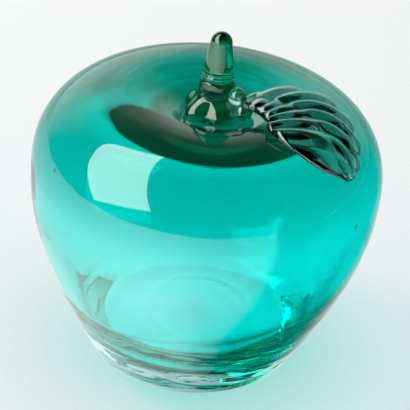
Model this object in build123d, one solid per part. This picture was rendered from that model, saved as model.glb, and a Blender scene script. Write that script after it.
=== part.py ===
from build123d import *
import os
from math import cos, hypot, pi, radians, sin, sqrt, tan

# Art glass apple: a hollow blown body in two layers, a stem drawn out of the
# lump that closes the blowing hole, and a pressed leaf held by two drops.
# Lengths are millimetres and angles degrees. The table is at height zero, and
# the Z axis passes through the middle of the widest section.

# Blown body, outside
body_radius = 57.5
widest_height = 67.0
crown_rise = 26.4
rim_radius = 29.0
base_radius = 34.7
base_edge_radius = 2.4
side_rise_angle = 61.3
body_lean_angle = 2.65
low_side_pull_share = 0.66
low_belly_pull_share = 0.22
high_belly_pull_share = 0.74
crown_pull_share = 0.45

# Dimple and blowing hole
dimple_depth = 6.0
dimple_floor_radius = 6.6
rim_inner_pull_share = 0.5
dimple_floor_pull_share = 0.12
hole_radius = 4.6
plug_sag = 1.2

# Clear casing over the coloured bubble
casing_side = 2.5
casing_crown = 3.3
casing_dimple = 5.5
base_thickness = 9.5
cut_overrun = 3.0

# Shape of the seam and the hollow, a bowl below and a wide crest under the crown
lining_side_start_share = 0.3
lining_wall_shares = (1.4, 1.2, 1, 1)
bowl_floor_pull_share = 0.6
bowl_side_pull_share = 0.5
lining_rim_spread = 7.0
lining_crown_pull_share = 0.15
lining_inner_pull_share = 0.36
lining_floor_pull_share = 0.30

# Coloured bubble
bubble_side = 0.8
bubble_crown = 3.3
bubble_dimple = 3.3
bubble_floor = 1.0
floor_edge_radius = 18.0
floor_dome_rise = 3.4

# Ground disc in the middle of the base
disc_radius = 17.5
disc_depth = 1.5

# Foot of the stem, with the collar over it
foot_radius = 9.6
foot_waist_radius = 6.5
foot_edge_height = 3.4
foot_waist_height = 6.8
foot_seat_depth = 1.5
foot_lobe_depth = 0.9
foot_lobe_count = 5
foot_lobe_shares = (0.3, 1.0, 0.8, 0.3, 0.1, 0.0)
collar_radius = 5.25
collar_length = 6.0

# Stem
stem_offset = 0.4
stem_length = 16.1
stem_tip_radius = 3.5
stem_low_radius = 4.9
stem_middle_radius = 4.45
lap_ring_height = 1.1
lap_ring_proud = 0.35

# Drops between the stem and the leaf
joint_radius = 2.9
joint_upper_rise = 2.1
joint_spacing = 4.6
joint_bite = 1.4
joint_heading = -29.0

# Leaf, pressed flat and bent over the shoulder
leaf_root_bite = 0.4
leaf_first_run_share = 0.36
leaf_first_heading = 12.0
leaf_second_run_share = 0.577
leaf_second_heading = -71.8
leaf_near_width_share = 0.283
leaf_far_width_share = 0.254
leaf_thickness = 3.8
leaf_edge_thickness = 2.0
leaf_gap = 0.6
rib_count = 7
rib_height = 0.9
scallop_depth = 1.3
near_widest_share = 0.62
far_widest_share = 0.5
leaf_root_width_share = 0.2
leaf_end_share = 0.985
leaf_end_power = 3
near_rib_sweep_share = 0.14
far_rib_sweep_share = 0.18
rib_fade_power = 6
lobe_crown_share = 0.45
lobe_hollow_share = 0.2
rib_station_shares = (0.2, 0.5, 0.8)
across_shares = (1, 0.5, 0, -0.5, -1)
halvings = 40


def bezier_point(points, t):
    """Point at t on the cubic curve with these four control points."""
    weights = ((1 - t) ** 3, 3 * t * (1 - t) ** 2, 3 * t * t * (1 - t), t ** 3)
    return tuple(sum(w * p[k] for w, p in zip(weights, points)) for k in range(2))


# The curves of the body, as radius and height

rim_height = widest_height + crown_rise
low_side_pull = low_side_pull_share * widest_height
low_belly_pull = low_belly_pull_share * widest_height
high_belly_pull = high_belly_pull_share * crown_rise
outer_shares = (crown_pull_share, rim_inner_pull_share, dimple_floor_pull_share)
lining_shares = (lining_crown_pull_share, lining_inner_pull_share, lining_floor_pull_share)


def body_curves(low, crown, dimple, crest, shares):
    """Curves from this lower side over the belly and crest into the dimple, moved in by these."""
    belly = low[-1]
    rim = (crest, rim_height - crown)
    dimple_floor = (dimple_floor_radius, rim_height - dimple_depth - dimple)
    dimple_width = crest - dimple_floor_radius
    high = [
        belly,
        (belly[0], belly[1] + high_belly_pull * (1 - crown / crown_rise)),
        (rim[0] + shares[0] * (belly[0] - rim[0]), rim[1]),
        rim,
    ]
    inner = [
        rim,
        (rim[0] - shares[1] * dimple_width, rim[1]),
        (dimple_floor[0] + shares[2] * dimple_width, dimple_floor[1]),
        dimple_floor,
    ]
    return low, high, inner


rise = radians(side_rise_angle)
side_foot = (base_radius, 0)
outer_low = [
    side_foot,
    (base_radius + low_side_pull * cos(rise), low_side_pull * sin(rise)),
    (body_radius, widest_height - low_belly_pull),
    (body_radius, widest_height),
]
outer_curves = body_curves(outer_low, 0, 0, rim_radius, outer_shares)


def revolved(curves, bottom_edges, bottom_start):
    """Solid of revolution under these curves, closed by the bottom edges."""
    low, high, inner = curves
    top_centre = (0, inner[-1][1])
    edges = bottom_edges + [Bezier(*low), Bezier(*high), Bezier(*inner)]
    edges += [Line(inner[-1], top_centre), Line(top_centre, bottom_start)]
    section = make_face([Plane.XZ * edge for edge in edges])
    return revolve(section, Axis.Z)


def leaned(shape):
    """Tilt a shape with the body, about the middle of the widest section."""
    pivot = Location((0, 0, widest_height))
    return pivot * Location((0, 0, 0), (0, body_lean_angle, 0)) * pivot.inverse() * shape


base_centre = -widest_height * tan(radians(body_lean_angle))


def outer_solid():
    """Outside of the body as one solid block, leaned and cut flat where it stands."""
    below = (base_radius - cut_overrun / tan(rise), -cut_overrun)
    bottom = [Line((0, -cut_overrun), below), Line(below, side_foot)]
    block = leaned(revolved(outer_curves, bottom, (0, -cut_overrun)))
    table = Pos(0, 0, -body_radius) * Box(4 * body_radius, 4 * body_radius, 2 * body_radius)
    block -= table
    rest_edge = block.faces().sort_by(Axis.Z)[0].edges()
    block = fillet(rest_edge, base_edge_radius)
    ball_radius = (disc_radius ** 2 + disc_depth ** 2) / (2 * disc_depth)
    return block - Pos(base_centre, 0, disc_depth - ball_radius) * Sphere(ball_radius)


def between(start, end, share):
    """Point this share of the way from start to end."""
    return tuple(a + (b - a) * share for a, b in zip(start, end))


def later_part(points, t):
    """Control points of the part of a curve that lies beyond t."""
    ends = [points[-1]]
    while len(points) > 1:
        points = [between(a, b, t) for a, b in zip(points, points[1:])]
        ends.append(points[-1])
    return ends[::-1]


def lining_solid(side, crown, dimple, floor_height, floor_radius):
    """Block of revolution inside the body: a domed floor, a bowl round it and the side."""
    corner = (floor_radius, floor_height)
    floor_top = (0, floor_height + floor_dome_rise)
    floor = Spline(
        floor_top,
        (floor_radius / 2, floor_height + floor_dome_rise / 2),
        corner,
        tangents=[(1, 0), (1, 0)],
    )
    side_points = later_part(outer_low, lining_side_start_share)
    low = [(x - side * share, z) for (x, z), share in zip(side_points, lining_wall_shares)]
    bowl = Bezier(
        corner,
        between(corner, (low[0][0], floor_height), bowl_floor_pull_share),
        between(low[0], low[1], -bowl_side_pull_share),
        low[0],
    )
    crest = rim_radius + lining_rim_spread
    curves = body_curves(low, crown, dimple, crest, lining_shares)
    return leaned(revolved(curves, [floor, bowl], floor_top))


seam = lining_solid(casing_side, casing_crown, casing_dimple, base_thickness, floor_edge_radius)
cavity = lining_solid(
    casing_side + bubble_side,
    casing_crown + bubble_crown,
    casing_dimple + bubble_dimple,
    base_thickness + bubble_floor,
    floor_edge_radius,
)

hole_floor = rim_height - dimple_depth - casing_dimple - bubble_dimple - cut_overrun
hole = leaned(
    Pos(0, 0, hole_floor) * extrude(Circle(hole_radius), rim_height - hole_floor)
)

outer = outer_solid()
clear_casing = outer - seam - hole
colour_bubble = seam - cavity - hole


# Foot of the stem: a plug in the blowing hole, a lobed pad and a collar

pad_bottom = rim_height - dimple_depth
foot_edge = pad_bottom + foot_edge_height
foot_waist = pad_bottom + foot_waist_height
collar_top = foot_waist + collar_length
foot_heights = (
    pad_bottom - foot_seat_depth,
    foot_edge,
    (foot_edge + foot_waist) / 2,
    foot_waist,
    (foot_waist + collar_top) / 2,
    collar_top,
)
foot_radii = (
    foot_radius - foot_lobe_depth,
    foot_radius,
    (foot_radius + foot_waist_radius) / 2,
    foot_waist_radius,
    (foot_waist_radius + collar_radius) / 2,
    collar_radius,
)


def foot_ring(height, radius, lobe_share):
    """Closed wavy ring round the foot, with one wave for each lobe."""
    point_count = foot_lobe_count * 4
    points = []
    for k in range(point_count):
        turn = 2 * pi * k / point_count
        reach = radius + lobe_share * foot_lobe_depth * cos(foot_lobe_count * turn)
        points.append((stem_offset + reach * cos(turn), reach * sin(turn), height))
    return Wire([Spline(*points, periodic=True)])


def foot_solid():
    """Lump that closes the hole, with lobes pressed out at its edge, up to the collar's top."""
    rings = [foot_ring(*ring) for ring in zip(foot_heights, foot_radii, foot_lobe_shares)]
    pad = Solid.make_loft(rings)
    plug_bottom = hole_floor + cut_overrun - plug_sag
    plug = Pos(0, 0, plug_bottom) * extrude(Circle(hole_radius), foot_edge - plug_bottom)
    return leaned(Part() + [pad, plug])


stem_foot = foot_solid() - clear_casing - colour_bubble


# Stem: drawn rod with a lap ring where it leaves the collar

def stem_solid():
    """Tapered rod from the collar's top to its rounded tip."""
    tip = collar_top + stem_length
    neck = collar_top + 2 * lap_ring_height
    shoulder = tip - stem_tip_radius
    ring = stem_low_radius + lap_ring_proud
    edges = [
        Line((0, collar_top), (stem_low_radius, collar_top)),
        Spline(
            (stem_low_radius, collar_top),
            (ring, collar_top + lap_ring_height),
            (stem_low_radius, neck),
            tangents=[(1, 1), (0, 1)],
        ),
        Spline(
            (stem_low_radius, neck),
            (stem_middle_radius, (neck + shoulder) / 2),
            (stem_tip_radius, shoulder),
            tangents=[(0, 1), (0, 1)],
        ),
        CenterArc((0, shoulder), stem_tip_radius, 0, 90),
        Line((0, tip), (0, collar_top)),
    ]
    section = make_face([Plane.XZ * edge for edge in edges])
    return leaned(Pos(stem_offset, 0, 0) * revolve(section, Axis.Z))


stem = stem_solid()


# Drops of clearer glass that join the leaf's root to the stem and its foot

leaf_rest_height = rim_height + leaf_gap
joint_upper_height = leaf_rest_height + joint_upper_rise
joint_lower_height = joint_upper_height - joint_spacing


def foot_side_radius(height):
    """Radius of the foot's side at this height, halfway between lobe and hollow."""
    for k in range(1, len(foot_heights)):
        if height <= foot_heights[k]:
            run = (height - foot_heights[k - 1]) / (foot_heights[k] - foot_heights[k - 1])
            return foot_radii[k - 1] + (foot_radii[k] - foot_radii[k - 1]) * run
    return collar_radius


def joint_reach(height):
    """Distance from the stem's axis to the middle of a drop at this height."""
    return foot_side_radius(height) + joint_radius - joint_bite


def step_from(point, heading, run):
    """Point reached from this one by a run along this heading, seen from above."""
    return (point[0] + run * cos(radians(heading)), point[1] + run * sin(radians(heading)))


def joint_drop(height):
    """Round drop beside the foot at this height."""
    place = step_from((stem_offset, 0), joint_heading, joint_reach(height))
    return leaned(Pos(place[0], place[1], height) * Sphere(joint_radius))


# Leaf: a loft whose stations follow the ribs, each a ring of arcs over two lobes

def shoulder_height(radius):
    """Height of the body's outside at this radius, level across the dimple."""
    curve = outer_curves[1]
    start, end = 0.0, 1.0
    for _ in range(halvings):
        middle = (start + end) / 2
        if bezier_point(curve, middle)[0] > max(radius, rim_radius):
            start = middle
        else:
            end = middle
    return bezier_point(curve, start)[1]


leaf_root_reach = joint_reach(joint_upper_height) + joint_radius - leaf_root_bite
leaf_root = step_from((stem_offset, 0), joint_heading, leaf_root_reach)
leaf_near_width = leaf_near_width_share * body_radius
leaf_far_width = leaf_far_width_share * body_radius
leaf_bend = step_from(leaf_root, leaf_first_heading, leaf_first_run_share * body_radius)
leaf_tip = step_from(leaf_bend, leaf_second_heading, leaf_second_run_share * body_radius)


def midrib(t):
    """Point of the midrib seen from above, and the direction across it, at t along the leaf."""
    point = [
        (1 - t) ** 2 * leaf_root[k] + 2 * t * (1 - t) * leaf_bend[k] + t * t * leaf_tip[k]
        for k in range(2)
    ]
    run = [
        (1 - t) * (leaf_bend[k] - leaf_root[k]) + t * (leaf_tip[k] - leaf_bend[k])
        for k in range(2)
    ]
    length = hypot(*run)
    return point, (-run[1] / length, run[0] / length)


def leaf_width_share(t, widest_share):
    """Half width at t along one lobe that is widest there, as a share of that width."""
    growth = sin(pi / 2 * min(t / widest_share, 1))
    past = max(0, (t - widest_share) / (1 - widest_share))
    opening = leaf_root_width_share + (1 - leaf_root_width_share) * growth
    return opening * sqrt(1 - past ** leaf_end_power)


def rib_wave(station):
    """Rise of the ribs at this station: round crests, sharp hollows and plain ends."""
    fade = 1 - (2 * station - 1) ** rib_fade_power
    return fade * abs(cos(pi * rib_count * station))


def leaf_point(station, v, upper):
    """Point of the leaf at v across it, from minus one at the near edge to one at the far."""
    bow = 4 * station * (1 - station)
    sweep = -near_rib_sweep_share * v * v if v < 0 else far_rib_sweep_share * v
    t = leaf_end_share * (station + bow * sweep)
    middle, across = midrib(t)
    share = leaf_width_share(t, near_widest_share if v < 0 else far_widest_share)
    edge = leaf_edge_thickness * sqrt(share)
    fill = (leaf_thickness - leaf_edge_thickness) * sqrt(share)
    wave = rib_wave(station)
    width = leaf_far_width - scallop_depth * v * (1 - wave) if v > 0 else leaf_near_width
    reach = v * (share * width - edge / 2)
    x = middle[0] + reach * across[0]
    y = middle[1] + reach * across[1]
    crown = 1 - ((abs(v) - lobe_crown_share) / (1 - lobe_crown_share)) ** 2
    height = shoulder_height(hypot(x, y)) + leaf_gap + fill * (1 - crown) * lobe_hollow_share
    if upper:
        height += edge + fill * crown * (1 - lobe_hollow_share) + rib_height * wave
    return (x, y, height), across, edge


def leaf_section(station):
    """Closed ring of arcs round the leaf at this station."""
    top = [leaf_point(station, v, True)[0] for v in across_shares]
    low = [leaf_point(station, v, False)[0] for v in reversed(across_shares)]
    bulges = []
    for v, above, below in ((-1, top[-1], low[0]), (1, top[0], low[-1])):
        _, across, edge = leaf_point(station, v, True)
        bulge = [above[k] + v * edge / 2 * across[k] for k in range(2)]
        bulges.append((bulge[0], bulge[1], (above[2] + below[2]) / 2))
    return Wire([
        ThreePointArc(*top[:3]),
        ThreePointArc(*top[2:]),
        ThreePointArc(top[-1], bulges[0], low[0]),
        ThreePointArc(*low[:3]),
        ThreePointArc(*low[2:]),
        ThreePointArc(low[-1], bulges[1], top[0]),
    ])


def leaf_solid():
    """Ruled loft over every rib's stations, with a plain station at each end."""
    stations = [0.0]
    for rib in range(rib_count):
        stations += [(rib + share) / rib_count for share in rib_station_shares]
    stations.append(1.0)
    return leaned(Solid.make_loft([leaf_section(s) for s in stations], ruled=True))


leaf = leaf_solid()
leaf_joint_upper = joint_drop(joint_upper_height) - stem_foot - stem - leaf
leaf_joint_lower = joint_drop(joint_lower_height) - stem_foot - stem - leaf
leaf_joint_lower = leaf_joint_lower - leaf_joint_upper - clear_casing

nodes = {
    "clear_casing": clear_casing,
    "colour_bubble": colour_bubble,
    "stem_foot": stem_foot,
    "stem": stem,
    "leaf": leaf,
    "leaf_joint_upper": leaf_joint_upper,
    "leaf_joint_lower": leaf_joint_lower,
}

os.makedirs("parts", exist_ok=True)
for name, shape in nodes.items():
    print(name, len(shape.solids()), round(shape.volume, 1))
    export_step(shape, f"parts/{name}.step")
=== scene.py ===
"""Dresses the blown glass apple: cased body, stem with its foot, leaf and drops, in a pale studio."""

import logging
from dataclasses import dataclass, field, fields
from enum import Enum
from functools import reduce
from math import atan2, cos, pi, radians, sin, tan

import bpy
import numpy as np
from mathutils import Matrix, Vector


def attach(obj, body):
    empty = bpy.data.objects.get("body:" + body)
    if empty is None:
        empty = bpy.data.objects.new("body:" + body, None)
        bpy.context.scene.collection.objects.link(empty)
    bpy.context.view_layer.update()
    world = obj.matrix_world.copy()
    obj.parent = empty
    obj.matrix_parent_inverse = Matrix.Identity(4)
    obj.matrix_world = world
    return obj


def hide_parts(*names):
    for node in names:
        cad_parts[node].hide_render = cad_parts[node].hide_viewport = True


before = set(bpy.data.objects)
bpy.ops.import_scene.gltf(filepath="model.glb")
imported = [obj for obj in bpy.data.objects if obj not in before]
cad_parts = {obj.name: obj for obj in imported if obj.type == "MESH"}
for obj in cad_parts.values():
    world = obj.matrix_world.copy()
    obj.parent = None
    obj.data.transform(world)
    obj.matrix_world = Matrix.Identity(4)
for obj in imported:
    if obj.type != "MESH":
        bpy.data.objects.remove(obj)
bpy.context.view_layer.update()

log = logging.getLogger("glass_apple")

MM = 0.001
DEGREES = 180 / pi
# Metres of pattern for each radian round the axis
TURN_LENGTH = 0.004
WHITE, BLACK = (1.0, 1.0, 1.0, 1.0), (0.0, 0.0, 0.0, 1.0)
NUMBER, VECTOR, COLOUR = "NodeSocketFloat", "NodeSocketVector", "NodeSocketColor"
# A Mix node's first input, second input and output, by its type
MIX_SOCKETS = {"VECTOR": (4, 5, 1), "RGBA": (6, 7, 2)}

Array = np.ndarray
Span = tuple[float, float]
Triple = tuple[float, float, float]
Grid = tuple[int, int]
Stops = tuple[Span, ...]
Socket = bpy.types.NodeSocket
Tree = bpy.types.NodeTree
Piece = bpy.types.Object
Glass = dict[str, bpy.types.Material]


class Slot(Enum):
    """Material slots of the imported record."""

    CASING = "casing_glass"
    BUBBLE = "bubble_glass"
    STEM = "stem_glass"
    LEAF = "leaf_glass"
    JOINT = "joint_glass"


class Axis(Enum):
    """Ways a wave pattern can run over a piece."""

    RINGS = "rings round the blowing axis"
    ALONG = "streaks along the height"


# Curves and grids, in millimetres


def curve_at(points: list[Span] | Array, t: Array) -> Array:
    """Points on a cubic curve.

    Args:
        points: The four control points, as radius and height.
        t: Where on the curve, from 0 to 1, or a little past its ends.

    Returns:
        A row of radius and height for each place asked for.
    """
    t, p = t[:, None], np.array(points, float)
    return (1 - t) ** 3 * p[0] + 3 * t * (1 - t) ** 2 * p[1] + 3 * t * t * (1 - t) * p[2] + t**3 * p[3]


def bezier(points: list[Span] | Array, count: int) -> Array:
    """This many points at even steps of a cubic curve's own measure."""
    return curve_at(points, np.linspace(0.0, 1.0, count))


def joined(*parts: Array) -> Array:
    """Polylines that meet end to end, as one, without the doubled points."""
    return np.vstack([parts[0]] + [part[1:] for part in parts[1:]])


def spaced(points: Array, count: int) -> Array:
    """The same polyline with its points at equal steps.

    Args:
        points: The polyline.
        count: How many points to give it.

    Returns:
        The new points.
    """
    place = np.concatenate([[0.0], np.cumsum(np.hypot(*np.diff(points, axis=0).T))])
    steps = np.linspace(0.0, place[-1], count)
    return np.column_stack([np.interp(steps, place, values) for values in points.T])


def eased(points: Array, rounds: int) -> Array:
    """The polyline with its corners rounded and its ends kept.

    Args:
        points: The polyline.
        rounds: How many times each point is averaged with its neighbours.

    Returns:
        The new points.
    """
    smooth = points.copy()
    for _ in range(rounds):
        smooth[1:-1] = 0.25 * smooth[:-2] + 0.5 * smooth[1:-1] + 0.25 * smooth[2:]
    return smooth


def through(places: list[float], values: list[float], at: Array) -> Array:
    """Natural cubic curve through these values.

    Args:
        places: Where the values stand, rising.
        values: The values there.
        at: Where to read the curve.

    Returns:
        The curve's values at each place asked for.
    """
    x, y = np.array(places, float), np.array(values, float)
    h, n = np.diff(x), len(x)
    left = np.eye(n)
    right = np.zeros(n)
    for i in range(1, n - 1):
        left[i, i - 1 : i + 2] = h[i - 1], 2 * (h[i - 1] + h[i]), h[i]
        right[i] = 6 * ((y[i + 1] - y[i]) / h[i] - (y[i] - y[i - 1]) / h[i - 1])
    bend = np.linalg.solve(left, right)
    i = np.clip(np.searchsorted(x, at) - 1, 0, n - 2)
    a, b = (x[i + 1] - at) / h[i], (at - x[i]) / h[i]
    return a * y[i] + b * y[i + 1] + ((a**3 - a) * bend[i] + (b**3 - b) * bend[i + 1]) * h[i] ** 2 / 6


def around(turns: int) -> Array:
    """Angles of this many even steps round the axis."""
    return np.linspace(0.0, 2 * pi, turns, endpoint=False)


def stood(profile: Array, turn: float) -> Array:
    """A profile of radius and height, stood in the half plane at this turn."""
    return np.column_stack([profile[:, 0] * cos(turn), profile[:, 0] * sin(turn), profile[:, 1]])


def turned(profile: Array, turns: int) -> Array:
    """Rings of a turned shape.

    Args:
        profile: Rows of radius and height.
        turns: How many points each ring has.

    Returns:
        An array of rings, points and coordinates.
    """
    rings = np.empty((len(profile), turns, 3))
    rings[:, :, 0] = profile[:, 0, None] * np.cos(around(turns))
    rings[:, :, 1] = profile[:, 0, None] * np.sin(around(turns))
    rings[:, :, 2] = profile[:, 1, None]
    return rings


def ball(half_width: float, half_length: float, grid: Grid) -> Array:
    """Rings of an upright ball, this many of this many points."""
    arc = np.linspace(pi / 2, -pi / 2, grid[0])
    return turned(np.column_stack([half_width * np.cos(arc), half_length * np.sin(arc)]), grid[1])


@dataclass
class Shell:
    """One closed skin, given as rings that start and end at a pole or a small ring."""

    rings: Array
    inward: bool = False

    def faces(self, first: int) -> tuple[Array, list[tuple[int, ...]]]:
        """Points and faces of the skin.

        Args:
            first: The number of points that the mesh already has.

        Returns:
            The points in millimetres, and the faces as point numbers.
        """
        rows, turns, _ = self.rings.shape
        points = np.vstack([self.rings[1:-1].reshape(-1, 3), self.rings[[0, -1]].mean(1)])
        last, pole = first + (rows - 3) * turns, first + (rows - 2) * turns
        pairs = [(k, (k + 1) % turns) for k in range(turns)]
        faces = [
            (row + a, row + a + turns, row + b + turns, row + b)
            for row in range(first, last, turns)
            for a, b in pairs
        ]
        for a, b in pairs:
            faces += [(pole, first + a, first + b), (pole + 1, last + b, last + a)]
        return points, [face[::-1] for face in faces] if self.inward else faces


def add_object(name: str, data: bpy.types.ID) -> Piece:
    """New object in the scene, at the origin."""
    thing = bpy.data.objects.new(name, data)
    bpy.context.scene.collection.objects.link(thing)
    return thing


def make_piece(name: str, shells: list[Shell]) -> Piece:
    """Mesh object made of closed skins.

    Args:
        name: The object's name.
        shells: Its skins; one marked inward bounds a hollow.

    Returns:
        The object, in metres, at the origin, shaded smooth.
    """
    points, faces = np.empty((0, 3)), []
    for shell in shells:
        more, extra = shell.faces(len(points))
        points = np.vstack([points, more])
        faces += extra
    mesh = bpy.data.meshes.new(name)
    mesh.from_pydata((points * MM).tolist(), [], faces)
    mesh.polygons.foreach_set("use_smooth", [True] * len(mesh.polygons))
    mesh.update()
    return add_object(name, mesh)


def finished(piece: Piece, material: bpy.types.Material, slot: Slot, *nodes: str) -> Piece:
    """Give a piece its glass and its place in the part.

    Args:
        piece: The piece with its final mesh.
        material: Its glass.
        slot: The record's slot that it takes its finish from; not used.
        nodes: The CAD nodes that it stands for.

    Returns:
        The same piece.
    """
    piece.data.materials.clear()
    piece.data.materials.append(material)
    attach(piece, "root")
    if nodes:
        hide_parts(*nodes)
    return piece


# Shader wiring


class Wiring:
    """Short calls that add nodes to one node tree and join them."""

    def __init__(self, tree: Tree) -> None:
        """Keep the tree that the nodes go into."""
        self.tree = tree

    def set(self, socket: Socket, value: object) -> None:
        """Give a socket its value.

        Args:
            socket: The input.
            value: A number, colour or vector, or an output to join to it.
        """
        if isinstance(value, Socket):
            self.tree.links.new(value, socket)
        else:
            socket.default_value = value

    def node(self, kind: str, settings: dict[str, object] | None = None, **inputs: object) -> bpy.types.Node:
        """A new node.

        Args:
            kind: The node's type name.
            settings: Its own properties, such as its operation.
            inputs: Socket names, with _ for a space, and what each is given.

        Returns:
            The node.
        """
        node = self.tree.nodes.new(kind)
        for key, value in (settings or {}).items():
            setattr(node, key, value)
        for key, value in inputs.items():
            self.set(node.inputs[key.replace("_", " ")], value)
        return node

    def filled(self, node: bpy.types.Node, *values: object) -> Socket:
        """First output of a node that is given these values in order."""
        for socket, value in zip(node.inputs, values):
            self.set(socket, value)
        return node.outputs[0]

    def math(self, operation: str, *values: object) -> Socket:
        """Output of a Math node with these values in order."""
        return self.filled(self.node("ShaderNodeMath", {"operation": operation}), *values)

    def product(self, *values: object) -> Socket:
        """These values multiplied together."""
        return reduce(lambda first, second: self.math("MULTIPLY", first, second), values)

    def reach(self, x: Socket, y: Socket) -> Socket:
        """Distance from the upright axis."""
        return self.math("SQRT", self.math("ADD", self.product(x, x), self.product(y, y)))

    def split(self, vector: Socket) -> bpy.types.NodeOutputs:
        """The three coordinates of a vector."""
        return self.node("ShaderNodeSeparateXYZ", Vector=vector).outputs

    def vector(self, x: object, y: object, z: object) -> Socket:
        """A vector of these coordinates."""
        return self.node("ShaderNodeCombineXYZ", X=x, Y=y, Z=z).outputs[0]

    def ringed(self, vector: Socket) -> Socket:
        """A place as reach, height and turn, so that a pattern runs in rings."""
        x, y, z = self.split(vector)
        return self.vector(self.reach(x, y), z, self.product(self.math("ARCTAN2", y, x), TURN_LENGTH))

    def scaled(self, vector: object, amount: object) -> Socket:
        """A vector or colour times a number."""
        node = self.node("ShaderNodeVectorMath", {"operation": "SCALE"}, Vector=vector, Scale=amount)
        return node.outputs[0]

    def mix(self, share: object, first: object, second: object, kind: str = "RGBA") -> Socket:
        """The first colour or vector turned into the second.

        Args:
            share: How far, from 0 to 1.
            first: What it starts as.
            second: What it ends as.
            kind: RGBA or VECTOR.

        Returns:
            The mixed value.
        """
        node = self.node("ShaderNodeMix", {"data_type": kind})
        low, high, out = MIX_SOCKETS[kind]
        for number, value in ((0, share), (low, first), (high, second)):
            self.set(node.inputs[number], value)
        return node.outputs[out]

    def group(self, tree: Tree, **inputs: object) -> bpy.types.NodeOutputs:
        """Outputs of a node group that is given these inputs."""
        return self.node("ShaderNodeGroup", {"node_tree": tree}, **inputs).outputs

    def noise(
        self, vector: Socket, scale: object, detail: float, rough: float = 0.5, twist: float = 0.0
    ) -> Socket:
        """Factor output of a Noise Texture on this vector."""
        sizes = {"Scale": scale, "Detail": detail, "Roughness": rough, "Distortion": twist}
        return self.node("ShaderNodeTexNoise", Vector=vector, **sizes).outputs[0]

    def ramp(self, value: Socket, span: Span, start: object = 0.0, end: object = 1.0) -> Socket:
        """The value taken from one range to another and held there.

        Args:
            value: The socket to read.
            span: The range that it is taken from.
            start: What the first end of the span becomes.
            end: What its last end becomes.

        Returns:
            The new value.
        """
        low, high = span
        node = self.node("ShaderNodeMapRange", Value=value, From_Min=low, From_Max=high)
        self.set(node.inputs["To Min"], start)
        self.set(node.inputs["To Max"], end)
        return node.outputs[0]

    def graph(self, value: Socket, stops: Stops) -> Socket:
        """The value read off a line graph.

        Args:
            value: The socket to read.
            stops: Places and levels, the places rising.

        Returns:
            The level at the value.
        """
        low, high = stops[0][0], stops[-1][0]
        top = max(level for _, level in stops)
        node = self.node("ShaderNodeValToRGB", Fac=self.ramp(value, (low, high)))
        elements = node.color_ramp.elements
        while len(elements) < len(stops):
            elements.new(0.5)
        for element, (place, level) in zip(elements, stops):
            element.position = (place - low) / (high - low)
            element.color = (level / top, level / top, level / top, 1.0)
        return self.product(node.outputs[0], top)


def cleared(owner: bpy.types.Material | bpy.types.World) -> Wiring:
    """Wiring of a material or world that starts without a node."""
    owner.use_nodes = True
    owner.node_tree.nodes.clear()
    return Wiring(owner.node_tree)


def new_group(
    name: str, inputs: dict[str, str], outputs: dict[str, str]
) -> tuple[Wiring, bpy.types.NodeOutputs]:
    """Empty shader node group with named sockets.

    Args:
        name: The group's name.
        inputs: Socket names and socket types going in.
        outputs: Socket names and socket types coming out.

    Returns:
        The group's wiring, and what goes into it.
    """
    group = bpy.data.node_groups.new(name, "ShaderNodeTree")
    for sockets, way in ((inputs, "INPUT"), (outputs, "OUTPUT")):
        for key, kind in sockets.items():
            group.interface.new_socket(key, in_out=way, socket_type=kind)
    wire = Wiring(group)
    return wire, wire.node("NodeGroupInput").outputs


# Effects that the glasses share, with spans in metres on the object


@dataclass(frozen=True)
class BlownWaves:
    """The slow swell and the fine drawn cords of hot worked glass."""

    stretch: float = 0.12

    def build(self) -> Tree:
        """Group that gives them as a height."""
        sizes = dict.fromkeys(("Swell Scale", "Cord Scale", "Cord Share", "Around"), NUMBER)
        wire, given = new_group("Blown waves", {"Vector": VECTOR, **sizes}, {"Height": NUMBER})
        x, y, z = wire.split(given["Vector"])
        along = wire.vector(x, y, wire.product(z, self.stretch))
        way = wire.mix(given["Around"], along, wire.ringed(given["Vector"]), "VECTOR")
        swell = wire.noise(given["Vector"], given["Swell Scale"], 1.0)
        cords = wire.product(wire.noise(way, given["Cord Scale"], 2.0), given["Cord Share"])
        wire.node("NodeGroupOutput", Height=wire.math("ADD", swell, cords))
        return wire.tree


@dataclass(frozen=True)
class HandMarks:
    """Faint smears and dust of a handled surface."""

    smear_levels: Span = (0.52, 0.74)
    smear_share: float = 0.7
    dust_levels: Span = (0.74, 0.8)

    def build(self) -> Tree:
        """Group that gives them as a mask."""
        sizes = dict.fromkeys(("Smear Scale", "Dust Scale"), NUMBER)
        wire, given = new_group("Hand marks", {"Vector": VECTOR, **sizes}, {"Mask": NUMBER})
        smear = wire.noise(given["Vector"], given["Smear Scale"], 3.0, 0.6)
        dust = wire.noise(given["Vector"], given["Dust Scale"], 1.0)
        worn = wire.ramp(smear, self.smear_levels, 0.0, self.smear_share)
        wire.node("NodeGroupOutput", Mask=wire.math("MAXIMUM", worn, wire.ramp(dust, self.dust_levels)))
        return wire.tree


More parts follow.
